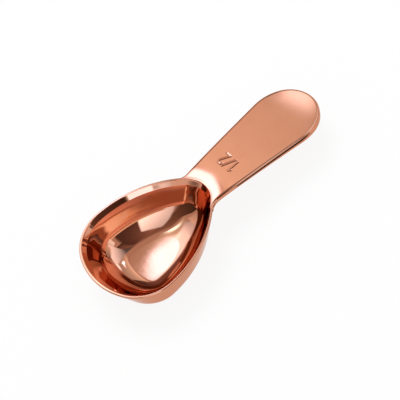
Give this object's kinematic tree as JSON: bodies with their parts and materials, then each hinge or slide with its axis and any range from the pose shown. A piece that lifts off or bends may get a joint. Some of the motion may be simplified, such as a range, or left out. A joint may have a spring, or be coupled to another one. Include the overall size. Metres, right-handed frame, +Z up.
{
  "type": "kitchen scoop",
  "caption": "Kitchen scoop with a deep pear-shaped mirror-polished bowl and a short flat satin handle, in copper-plated steel, for measuring dry goods and liquids.",
  "frame": {"origin": "on the bowl's flat base, on the plane of symmetry, under the widest station of the bowl", "axes": "+X from the bowl towards the tip of the handle, +Y to the left, +Z up out of the bowl, square to the rim"},
  "size_m": [0.1039, 0.042, 0.0169],
  "materials": {
    "mirror_copper": "copper plate on steel, polished to a mirror",
    "satin_copper": "copper plate on steel, fine satin with polished edges"
  },
  "bodies": {
    "root": {"bowl": "mirror_copper", "handle": "satin_copper"}
  },
  "joints": []
}
